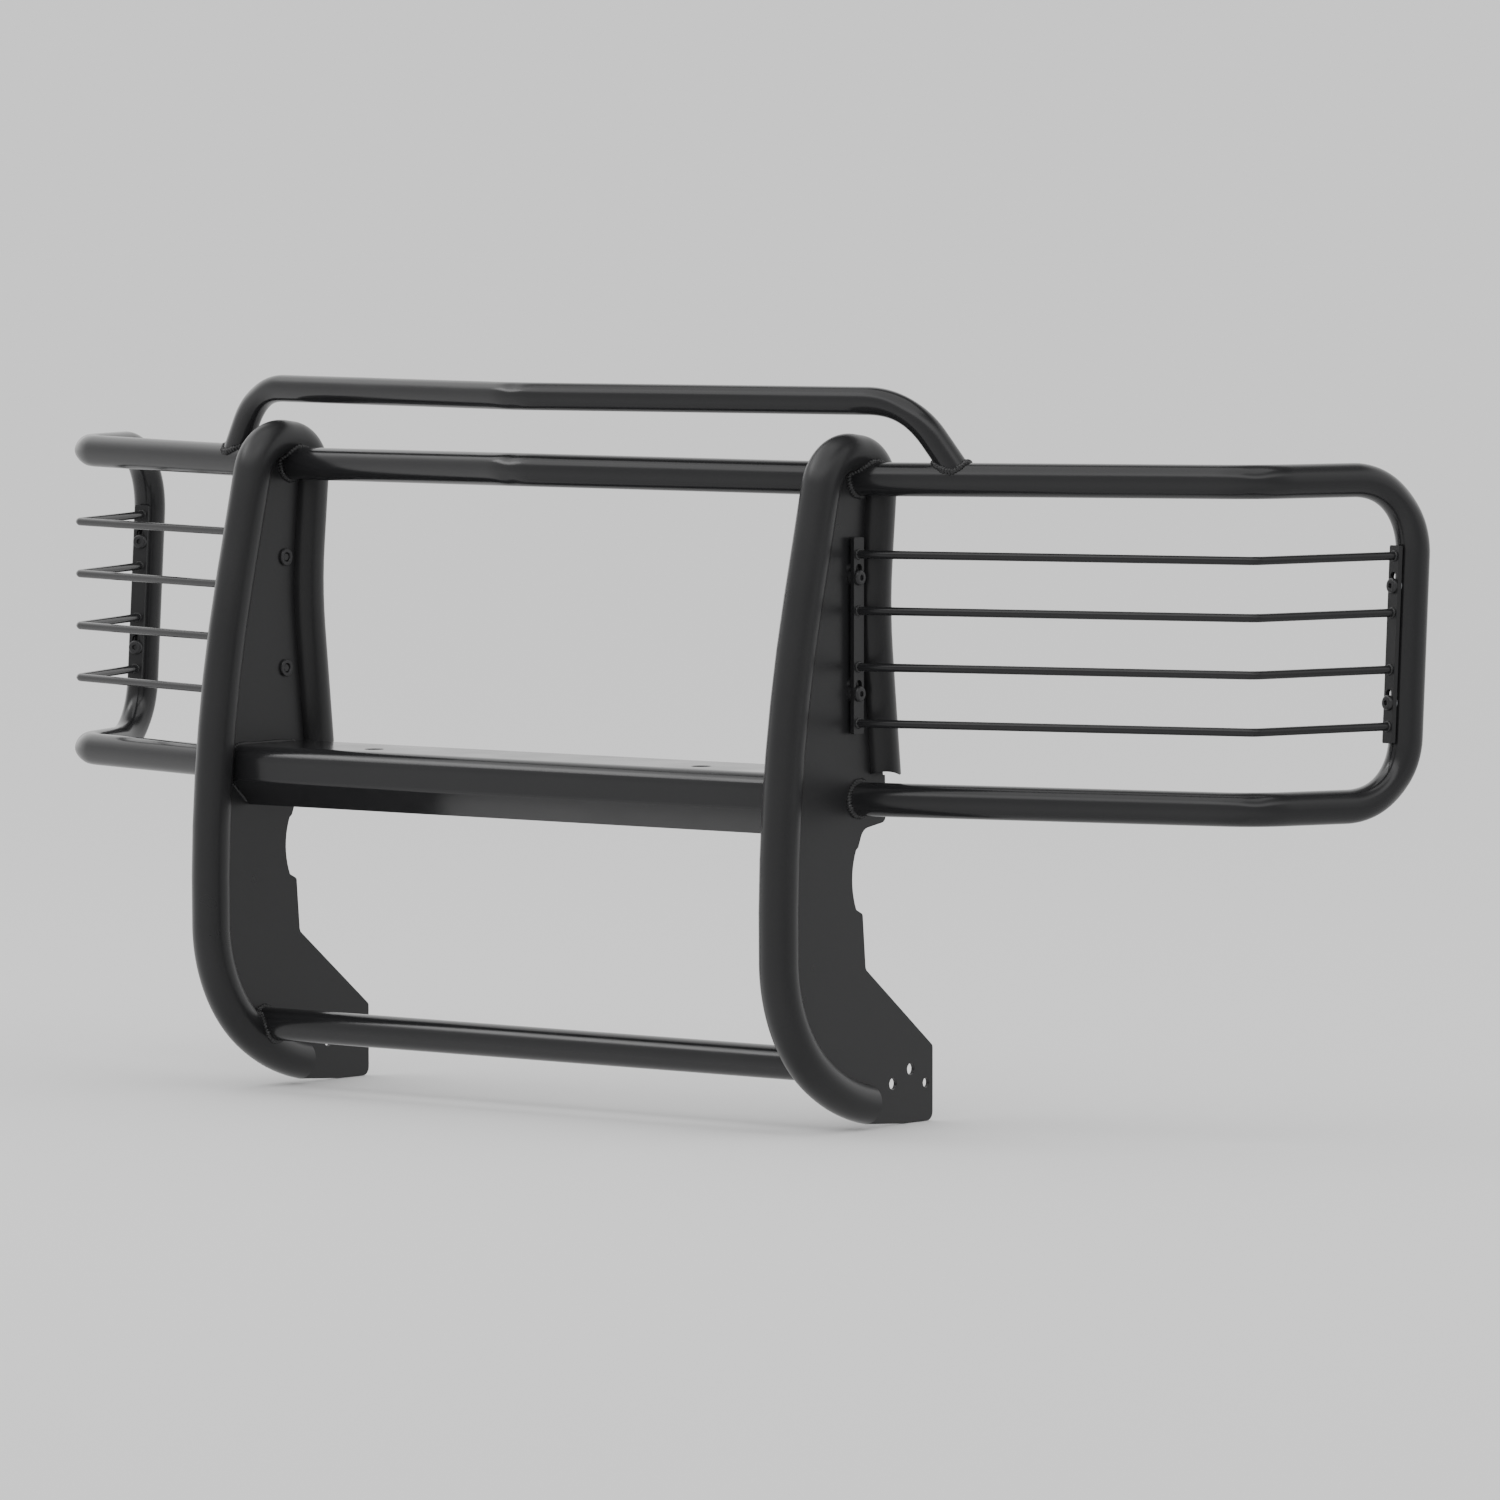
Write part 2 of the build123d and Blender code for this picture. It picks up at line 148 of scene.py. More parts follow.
class Route:
    """Centre line of a bent tube, grown by straights and round bends.

    Every row keeps a point, the heading, a cross direction carried round the bends without
    twist, the direction towards the inside of the bend, and how far into the bend it is.
    """

    STRAIGHT_STEP = 12 * MM
    BEND_STEP = radians(2.5)
    LEAST_STRAIGHT = 0.001 * MM

    def __init__(self, start: np.ndarray, heading: np.ndarray, across: np.ndarray) -> None:
        """Starts the line at a point, along a heading, with a cross direction."""
        self.point = np.array(start, float)
        self.heading = unit(np.array(heading, float))
        across = np.array(across, float)
        self.across = unit(across - self.heading * (across @ self.heading))
        self.rows: list[np.ndarray] = [self._pack(self.point, self.heading, self.across, 0 * self.point, 0.0)]

    @staticmethod
    def _pack(
        point: np.ndarray,
        heading: np.ndarray,
        across: np.ndarray,
        inward: np.ndarray,
        crush: np.ndarray | float,
    ) -> np.ndarray:
        """Rows of thirteen numbers side by side.

        Args:
            point: point or points of the centre line.
            heading: direction of travel.
            across: cross direction.
            inward: direction to the inside of the bend, or nothing on a straight.
            crush: how far into the bend, from 0 to 1.

        Returns:
            One row for each point.
        """
        point = np.atleast_2d(point)
        count = len(point)
        parts = [np.broadcast_to(np.atleast_2d(v), (count, 3)) for v in (point, heading, across, inward)]
        return np.concatenate(parts + [np.broadcast_to(np.reshape(crush, (-1, 1)), (count, 1))], axis=1)

    def straight(self, length: float) -> "Route":
        """Adds a straight: the point moves along the heading in even steps."""
        steps = max(1, ceil(length / self.STRAIGHT_STEP))
        along = np.linspace(0, length, steps + 1)[1:, None]
        points = self.point + self.heading * along
        self.rows.append(self._pack(points, self.heading, self.across, 0 * self.point, 0.0))
        self.point = points[-1]
        return self

    def bend(self, radius: float, angle: float, axis: np.ndarray) -> "Route":
        """Adds a bend: point, heading and cross direction turn about an axis by even angles.

        Args:
            radius: bend radius of the centre line.
            angle: how far it turns, in radians.
            axis: direction that it turns about, by the right-hand rule.

        Returns:
            The route itself.
        """
        axis = unit(np.array(axis, float))
        inward = np.cross(axis, self.heading)
        centre = self.point + inward * radius
        steps = max(2, ceil(angle / self.BEND_STEP))
        turn = np.linspace(0, angle, steps + 1)[1:]
        crush = np.sin(pi * turn / angle) ** 2
        rows = self._pack(
            centre + self._turned(self.point - centre, axis, turn),
            self._turned(self.heading, axis, turn),
            self._turned(self.across, axis, turn),
            self._turned(inward, axis, turn),
            crush,
        )
        self.rows.append(rows)
        self.point, self.heading, self.across = rows[-1, 0:3], rows[-1, 3:6], rows[-1, 6:9]
        return self

    @staticmethod
    def _turned(vector: np.ndarray, axis: np.ndarray, turn: np.ndarray) -> np.ndarray:
        """A vector turned about an axis by each angle: along part plus turned cross part."""
        along = axis * (vector @ axis)
        flat = vector - along
        return along + flat * np.cos(turn)[:, None] + np.cross(axis, flat) * np.sin(turn)[:, None]

    @classmethod
    def through(cls, corners: list, radii: list, across: np.ndarray) -> "Route":
        """Route along straight runs between corners, each corner rounded by its radius.

        Args:
            corners: the corner points, ends included.
            radii: one bend radius for each corner between the ends.
            across: cross direction at the start.

        Returns:
            The finished route.
        """
        corners = np.array(corners, float)
        runs = unit(np.diff(corners, axis=0))
        lengths = np.linalg.norm(np.diff(corners, axis=0), axis=1)
        turns = np.arccos(np.clip((runs[:-1] * runs[1:]).sum(1), -1, 1))
        setbacks = np.concatenate([[0], np.array(radii) * np.tan(turns / 2), [0]])
        route = cls(corners[0], runs[0], across)
        for number, length in enumerate(lengths):
            left = length - setbacks[number] - setbacks[number + 1]
            if left > cls.LEAST_STRAIGHT:
                route.straight(left)
            if number < len(turns):
                route.bend(radii[number], turns[number], np.cross(runs[number], runs[number + 1]))
        return route

    def table(self) -> np.ndarray:
        """All rows of the route as one array."""
        return np.concatenate(self.rows)


@dataclass(frozen=True)
class TubeStock:
    """Round tube or bar.

    Attributes:
        outer: outside diameter.
        wall: wall thickness, or 0 for solid bar.
        crush: how deep the inside of a bend is pressed in.
        columns: points round the tube.
    """

    outer: float
    wall: float = 0.0
    crush: float = 0.0
    columns: int = 64
    DENT: ClassVar[float] = 0.45

    def rings(self, table: np.ndarray, radius: float) -> np.ndarray:
        """Rings of points round a route.

        Each ring is the row's point plus the radius along directions that turn from the cross
        direction. On the inside of a bend the radius shrinks by the crush depth times the
        squared cosine of the angle to the bend's inside. Halfway between the outside and each
        flank it is dented by less, in a shorter stretch at the bend's middle.

        Args:
            table: the route's rows.
            radius: radius of the rings.

        Returns:
            Points by row and by column round the tube.
        """
        angle = np.linspace(0, 2 * pi, self.columns, endpoint=False)[None, :, None]
        point, heading, across, inward = (table[:, None, i : i + 3] for i in (0, 3, 6, 9))
        around = across * np.cos(angle) + np.cross(heading, across) * np.sin(angle)
        depth = table[:, None, 12:13]
        inside = (around * inward).sum(-1, keepdims=True)
        flank = (around * np.cross(heading, inward)).sum(-1, keepdims=True)
        dent = self.DENT * depth**4 * (2 * flank * np.clip(-inside, 0, 1)) ** 2
        pressed = radius - self.crush * (depth * np.clip(inside, 0, 1) ** 2 + dent)
        return point + around * pressed

    def patch(self, route: Route) -> Patch:
        """Solid-looking tube along a route, closed by a flat face at each end."""
        return Patch(self.rings(route.table(), self.outer / 2))

    def open_patch(self, route: Route, shaped_end: Callable[[np.ndarray], np.ndarray]) -> Patch:
        """Hollow tube with open ends: the outer rings forward, then the bore's rings back.

        Args:
            route: the centre line.
            shaped_end: function that moves a first ring onto the shape its end is cut to.

        Returns:
            A ring-shaped patch.
        """
        table = route.table()
        skin = self.rings(table, self.outer / 2)
        bore = self.rings(table, self.outer / 2 - self.wall)
        skin[0], bore[0] = shaped_end(skin[0]), shaped_end(bore[0])
        return Patch(np.concatenate([skin, bore[::-1]]), ring=True)


@dataclass(frozen=True)
class Bead:
    """Weld bead laid in even overlapping drops.

    Attributes:
        width: radius of the bead's round section.
        pitch: distance between two drops.
        ripple: height of a drop against the bead's radius.
    """

    width: float = 4.2 * MM
    pitch: float = 3.4 * MM
    ripple: float = 0.34
    columns: int = 12
    rows_per_drop: int = 6
    LUMPS: ClassVar[tuple] = ((0.12, 3, 977.0), (0.09, 11, 331.0))

    def patch(self, line: np.ndarray, out: np.ndarray, closed: bool = True) -> Patch:
        """Bead along a line on the surface.

        The section's radius swells with the absolute cosine of the length laid, in drops, less
        a lag towards the bead's edges, so that the drops look like overlapping scales. Two
        slower waves keep the width from being even.

        Args:
            line: points along the joint.
            out: direction away from the joint at each point.
            closed: whether the line runs round to its own start.

        Returns:
            The bead's surface.
        """
        ends = np.concatenate([line, line[:1]]) if closed else line
        outs = np.concatenate([out, out[:1]]) if closed else out
        laid = np.concatenate([[0], np.cumsum(np.linalg.norm(np.diff(ends, axis=0), axis=1))])
        drops = max(3, round(laid[-1] / self.pitch))
        spots = np.linspace(0, laid[-1], drops * self.rows_per_drop, endpoint=not closed)
        middle = np.stack([np.interp(spots, laid, ends[:, i]) for i in range(3)], axis=1)
        away = np.stack([np.interp(spots, laid, outs[:, i]) for i in range(3)], axis=1)
        if closed:
            heading = unit(np.roll(middle, -1, axis=0) - np.roll(middle, 1, axis=0))
        else:
            heading = unit(np.gradient(middle, axis=0))
        away = unit(away - heading * (away * heading).sum(1, keepdims=True))
        beside = np.cross(heading, away)
        angle = np.linspace(0, 2 * pi, self.columns, endpoint=False)[None, :]
        phase = spots[:, None] / laid[-1] * drops
        scale = np.abs(np.cos(pi * (phase + 0.35 * np.sin(angle) ** 2)))
        turn = 2 * pi * spots / laid[-1]
        lumps = [height * np.sin(waves * turn + laid[-1] * shift) for height, waves, shift in self.LUMPS]
        slow = np.sum(lumps, axis=0)[:, None]
        radius = self.width * (1 - self.ripple + self.ripple * scale + slow)
        if not closed:
            taper = np.minimum(spots, laid[-1] - spots)[:, None] / (2 * self.width)
            radius = radius * np.sqrt(np.clip(taper, 0.04, 1))
        spread = away[:, None] * np.cos(angle)[..., None] + beside[:, None] * np.sin(angle)[..., None]
        return Patch(middle[:, None] + spread * radius[..., None], ring=closed)


def turned_patch(seat: "Seat", offset: float, radii: np.ndarray, heights: np.ndarray) -> Patch:
    """Turned surface on a seat: ring radii and heights along the seat's outward axis.

    Args:
        seat: the place it stands on.
        offset: how far along the seat's upright direction its axis lies.
        radii: rows of radii, one per column, so that a row may be a hexagon.
        heights: one height for each row.

    Returns:
        The surface, closed by a face over its first and last rows.
    """
    angle = np.linspace(0, 2 * pi, radii.shape[1], endpoint=False)
    ring = seat.right * np.cos(angle)[:, None] + seat.up * np.sin(angle)[:, None]
    centre = seat.origin + seat.up * offset
    return Patch(centre + ring[None] * radii[..., None] + seat.out * heights[:, None, None])


def hexagon(across_flats: float, columns: int) -> np.ndarray:
    """Radius of a hexagon in each direction: half its width over the cosine to the flat."""
    angle = np.linspace(0, 2 * pi, columns, endpoint=False)
    return across_flats / 2 / np.cos((angle + pi / 6) % (pi / 3) - pi / 6)


@dataclass(frozen=True)
class Seat:
    """Flat place that fasteners stand on: origin, outward, upright and rightward directions."""

    origin: np.ndarray
    out: np.ndarray
    up: np.ndarray

    @property
    def right(self) -> np.ndarray:
        """Third direction, so that right, up and out are right-handed."""
        return np.cross(self.up, self.out)


# ---- finishes -----------------------------------------------------------------------------


class Wiring:
    """Shader nodes of one tree, added and joined in short calls."""

    def __init__(self, tree: bpy.types.NodeTree) -> None:
        """Keeps the tree that the nodes go into."""
        self.tree = tree

    def add(self, kind: str, **settings: str | int) -> bpy.types.Node:
        """A new node of a kind, with some of its settings."""
        node = self.tree.nodes.new(kind)
        for setting, choice in settings.items():
            setattr(node, setting, choice)
        return node

    def join(self, source: bpy.types.NodeSocket, target: bpy.types.NodeSocket) -> None:
        """Links an output to an input."""
        self.tree.links.new(source, target)

    def noise(self, place: bpy.types.NodeSocket, scale: float, detail: float) -> bpy.types.NodeSocket:
        """Grey output of a noise over the given coordinates."""
        noise = self.add("ShaderNodeTexNoise")
        noise.inputs["Scale"].default_value = scale
        noise.inputs["Detail"].default_value = detail
        self.join(place, noise.inputs["Vector"])
        return noise.outputs["Fac"]

    def ranged(
        self,
        value: bpy.types.NodeSocket,
        taken: tuple[float, float],
        given: tuple[float, float],
        ease: str = "LINEAR",
    ) -> bpy.types.NodeSocket:
        """A value mapped from one range to another, clamped.

        Args:
            value: the output to map.
            taken: the range that it is taken from.
            given: the range that it is brought to.
            ease: the way between the two ends.

        Returns:
            The mapped output.
        """
        ranged = self.add("ShaderNodeMapRange", interpolation_type=ease)
        for name, number in zip(("From Min", "From Max", "To Min", "To Max"), (*taken, *given)):
            ranged.inputs[name].default_value = number
        self.join(value, ranged.inputs["Value"])
        return ranged.outputs["Result"]

    def product(
        self, left: bpy.types.NodeSocket, right: bpy.types.NodeSocket | float
    ) -> bpy.types.NodeSocket:
        """Product of two values.

        Args:
            left: an output.
            right: another output, or a number.

        Returns:
            The product.
        """
        product = self.add("ShaderNodeMath", operation="MULTIPLY")
        self.join(left, product.inputs[0])
        if isinstance(right, float):
            product.inputs[1].default_value = right
        else:
            self.join(right, product.inputs[1])
        return product.outputs[0]

    def mixed(self, kind: str, share: bpy.types.NodeSocket) -> bpy.types.Node:
        """Mix node of a kind of data, with its share joined."""
        mix = self.add("ShaderNodeMix", data_type=kind)
        self.join(share, mix.inputs["Factor"])
        return mix


@dataclass(frozen=True)
class Coating:
    """Black coating over steel, with orange peel, clouding and fine dust.

    Attributes:
        name: material name.
        colour: base colour in shade.
        dusty: colour of its palest specks.
        gloss_low: least roughness.
        gloss_high: greatest roughness.
        peel: strength of the orange peel.
        edge: radius that the coating gives to sharp edges, 0 for none.
        metallic: share of bare metal.
        specular: how much the gloss reflects.
        cloud_scale: clouds to a metre.
        speck_scale: specks to a metre.
        peel_scale: bumps of the orange peel to a metre.
        peel_height: height of a bump.
    """

    name: str
    colour: tuple[float, float, float] = (0.0165, 0.0166, 0.0176)
    dusty: tuple[float, float, float] = (0.027, 0.027, 0.028)
    gloss_low: float = 0.20
    gloss_high: float = 0.30
    peel: float = 0.10
    edge: float = 0.0
    metallic: float = 0.0
    specular: float = 0.5
    cloud_scale: float = 14.0
    speck_scale: float = 1600.0
    peel_scale: float = 420.0
    peel_height: float = 0.4 * MM
    CLOUDS: ClassVar[tuple[float, float]] = (0.15, 0.85)
    SPECKS: ClassVar[tuple[float, float]] = (0.52, 0.75)
    BEVEL_SAMPLES: ClassVar[int] = 4

    def material(self) -> bpy.types.Material:
        """Builds the node tree.

        Colour mixes from base to dusty by a fine speckle inside slow clouds, roughness follows
        the clouds, and the surface is bumped by a millimetre-scale orange peel.
        """
        material = bpy.data.materials.new(self.name)
        material.use_nodes = True
        wiring = Wiring(material.node_tree)
        shader = material.node_tree.nodes["Principled BSDF"]
        shader.inputs["Metallic"].default_value = self.metallic
        shader.inputs["Specular IOR Level"].default_value = self.specular
        place = wiring.add("ShaderNodeTexCoord").outputs["Object"]
        clouds = wiring.noise(place, self.cloud_scale, 3.0)
        specks = wiring.noise(place, self.speck_scale, 1.0)
        rough = wiring.ranged(clouds, self.CLOUDS, (self.gloss_low, self.gloss_high), "SMOOTHSTEP")
        wiring.join(rough, shader.inputs["Roughness"])
        dust = wiring.ranged(specks, self.SPECKS, (0.0, 1.0), "SMOOTHSTEP")
        cloudy = wiring.ranged(clouds, self.CLOUDS, (0.2, 1.0), "SMOOTHSTEP")
        mix = wiring.mixed("RGBA", wiring.product(dust, cloudy))
        mix.inputs["A"].default_value = (*self.colour, 1)
        mix.inputs["B"].default_value = (*self.dusty, 1)
        wiring.join(mix.outputs["Result"], shader.inputs["Base Color"])
        bump = wiring.add("ShaderNodeBump")
        bump.inputs["Strength"].default_value = self.peel
        bump.inputs["Distance"].default_value = self.peel_height
        wiring.join(wiring.noise(place, self.peel_scale, 2.0), bump.inputs["Height"])
        if self.edge > 0:
            rounding = wiring.add("ShaderNodeBevel", samples=self.BEVEL_SAMPLES)
            rounding.inputs["Radius"].default_value = self.edge
            wiring.join(rounding.outputs[0], bump.inputs["Normal"])
        wiring.join(bump.outputs[0], shader.inputs["Normal"])
        return material


class Paintwork:
    """The guard's finishes, each made once."""

    def __init__(self) -> None:
        """Makes the materials."""
        self.tube = Coating("powder_coat_on_tube", gloss_low=0.13, gloss_high=0.21).material()
        self.rim = Coating("powder_coat_on_rims", gloss_low=0.26, gloss_high=0.36).material()
        self.sheet = Coating(
            "powder_coat_on_sheet", edge=0.6 * MM, gloss_low=0.14, gloss_high=0.22,
        ).material()
        self.flat = Coating("powder_coat_on_flats", edge=0.5 * MM, gloss_low=0.26, gloss_high=0.38).material()
        self.weld = Coating(
            "powder_coat_on_welds", colour=(0.024, 0.024, 0.025), dusty=(0.075, 0.075, 0.077), gloss_low=0.16,
            gloss_high=0.30, peel=0.45,
        ).material()
        self.bolt = Coating(
            "black_oxide_bolts", colour=(0.045, 0.045, 0.047), dusty=(0.08, 0.08, 0.08), gloss_low=0.26,
            gloss_high=0.40, peel=0.10, edge=0.3 * MM, metallic=0.5,
        ).material()
        self.plating = Coating(
            "zinc_plating", colour=(0.45, 0.46, 0.48), dusty=(0.30, 0.30, 0.31), gloss_low=0.25,
            gloss_high=0.45, peel=0.1, metallic=1.0,
        ).material()

    def dress_node(self, name: str, material: bpy.types.Material) -> None:
        """Gives a kept CAD node its finish, in the object's own material slots.

        Args:
            name: the node.
            material: its finish.
        """
        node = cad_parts[name]
        if not node.material_slots:
            node.data.materials.append(None)
        for slot in node.material_slots:
            slot.link = "OBJECT"
            slot.material = material
        log.info("kept %s as %s", name, material.name)

    def dress(self, piece: bpy.types.Object, material: bpy.types.Material, slot: Slot, *nodes: str) -> None:
        """Finishes a new piece, rides it on the guard and says what it stands for.

        Args:
            piece: the new object.
            material: its finish.
            slot: not used.
            nodes: CAD nodes that it replaces.
        """
        piece.data.materials.append(material)
        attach(piece, BODY)
        if nodes:
            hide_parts(*nodes)
        log.info("built %s: %d faces, stands for %s", piece.name, len(piece.data.polygons), nodes or "itself")


# ---- the guard's sub-assemblies --------------------------------------------------------------


@dataclass(frozen=True)
class Layout:
    """Where things lie: sizes shared by all sub-assemblies."""

    upright_x: float = 425.0 * MM
    root_y: float = -92.31 * MM
    plate: float = 4.8 * MM
    tube: TubeStock = TubeStock(38.1 * MM, 2.4 * MM, crush=2.6 * MM)
    rim_tube: TubeStock = TubeStock(44.45 * MM, 2.4 * MM, columns=72)
    hoop_tube: TubeStock = TubeStock(31.75 * MM, 2.1 * MM, crush=1.6 * MM)
    rod: TubeStock = TubeStock(9.5 * MM, crush=0.5 * MM, columns=28)
    upper_z: float = 729.5 * MM
    wing_rise: float = 3.0 * MM
    lower_z: float = 371.0 * MM
    bow: float = 90.0 * MM
    bow_rise: float = 4.0 * MM
    bow_radius: float = 140.0 * MM
    wing_bend: tuple[float, float] = (880.0 * MM, 131.0 * MM)
    wing_top: tuple[float, float] = (951.0 * MM, 334.0 * MM)
    wing_low: tuple[float, float] = (952.0 * MM, 311.0 * MM)
    wing_radius: float = 80.0 * MM

    def at(self, side: Side, across: float, behind: float, height: float) -> np.ndarray:
        """Point from the centre line, the tubes' root line and the feet."""
        return np.array([side.value * across, self.root_y + behind, height])


@dataclass
class Uprights:
    """The two bent rims round the CAD plates, with the rims' surface for the welds on them."""

    layout: Layout
    paint: Paintwork
    end: tuple[float, float] = (43.0 * MM, 396.0 * MM)
    lean: float = radians(6.1)
    rear_straight: float = 139.9 * MM
    rear_bend: tuple[float, float] = (512.0 * MM, radians(11.2))
    neck_straight: float = 80.9 * MM
    shoulder_bend: tuple[float, float] = (38.0 * MM, radians(88.0))
    crown_straight: float = 13.0 * MM
    top_bend: tuple[float, float] = (50.0 * MM, radians(83.2))
    front_straight: float = 128.0 * MM
    belly_bend: tuple[float, float] = (1500.0 * MM, radians(15.5))
    chin_bend: tuple[float, float] = (166.0 * MM, radians(53.5))
    foot_bend: tuple[float, float] = (226.0 * MM, radians(23.9))
    cope_radius: float = 40.0 * MM
    cope_depth: float = 5.0 * MM
    cope_turn: float = radians(140.0)

    def route(self, side: Side) -> Route:
        """Rim's centre line: rear leg, shoulder, flat crown, front bend, belly, chin and foot.

        Bends about -X turn the climbing leg rearward, bends about +X bring it over and down.
        """
        lean = np.array([0, -sin(self.lean), cos(self.lean)])
        rear, over = np.array([-1.0, 0, 0]), np.array([1.0, 0, 0])
        route = Route(self.layout.at(side, self.layout.upright_x, *self.end), lean, over)
        route.straight(self.rear_straight).bend(*self.rear_bend, rear).straight(self.neck_straight)
        route.bend(*self.shoulder_bend, over).straight(self.crown_straight)
        route.bend(*self.top_bend, over).straight(self.front_straight)
        return route.bend(*self.belly_bend, over).bend(*self.chin_bend, over).bend(*self.foot_bend, over)

    def coped(self, side: Side, ring: np.ndarray) -> np.ndarray:
        """Moves the rear leg's last ring up its own direction onto the saddle cut.

        The saddle is a level cylinder under the leg. Each point climbs to where its line leaves
        that cylinder, from the quadratic for a line and a cylinder, or stays if outside it.

        Args:
            side: which rim.
            ring: the ring's points.

        Returns:
            The points on the cut.
        """
        climb = np.array([0, -sin(self.lean), cos(self.lean)])
        axis = np.array([side.value * cos(self.cope_turn), sin(self.cope_turn), 0])
        centre = self.layout.at(side, self.layout.upright_x, *self.end)
        centre = centre - np.array([0, 0, self.cope_radius - self.cope_depth])
        off = ring - centre
        off = off - axis * (off @ axis)[:, None]
        rise = climb - axis * (climb @ axis)
        square, half = rise @ rise, off @ rise
        depth = np.maximum(half**2 - square * ((off**2).sum(1) - self.cope_radius**2), 0)
        climbs = np.maximum((np.sqrt(depth) - half) / square, 0)
        return ring + climb * climbs[:, None]

    def skin_height(self, points: np.ndarray) -> np.ndarray:
        """How far the upright's skin stands off its middle plane beside each point.

        It is half the plate, or where the rim tube is nearer, the half chord of its circle at
        the point's distance from the rim's centre line.
        """
        line = self.route(Side.RIGHT).table()[:, 1:3]
        gap = np.linalg.norm(points[:, None, 1:3] - line[None], axis=2).min(1)
        chord = np.sqrt(np.maximum((self.layout.rim_tube.outer / 2) ** 2 - gap**2, 0))
        return np.maximum(self.layout.plate / 2, chord)

    def joint_ring(self, side: Side, start: np.ndarray, heading: np.ndarray, outer: float) -> tuple:
        """Ring where a round tube meets an upright.

        Each line along the tube's skin is followed to the upright's skin, by a few rounds of
        setting its X to the middle plane plus the skin height there.

        Args:
            side: which upright.
            start: point on the tube's axis at the upright.
            heading: the tube's direction away from the upright.
            outer: the tube's diameter.

        Returns:
            The ring's points, and their directions away from the tube's axis.
        """
        heading = unit(heading)
        across = unit(np.cross(heading, [0, 0, 1.0]))
        angle = np.linspace(0, 2 * pi, 180, endpoint=False)[:, None]
        out = across * np.cos(angle) + np.cross(heading, across) * np.sin(angle)
        ring = start + out * outer / 2
        middle = side.value * self.layout.upright_x
        facing = np.sign(heading[0])
        for _ in range(6):
            reach = (middle + facing * self.skin_height(ring) - ring[:, 0]) / heading[0]
            ring = ring + heading * reach[:, None]
        return ring, out

    def build(self) -> None:
        """Builds both rims with open, coped rear ends, and finishes the plates."""
        for side in Side:
            rim = self.layout.rim_tube.open_patch(self.route(side), lambda ring: self.coped(side, ring))
            name = f"{side.label}_upright_rim"
            self.paint.dress(make_piece(f"{name}_bent", [rim]), self.paint.rim, Slot.COAT, name)
            self.paint.dress_node(f"{side.label}_upright_plate", self.paint.flat)


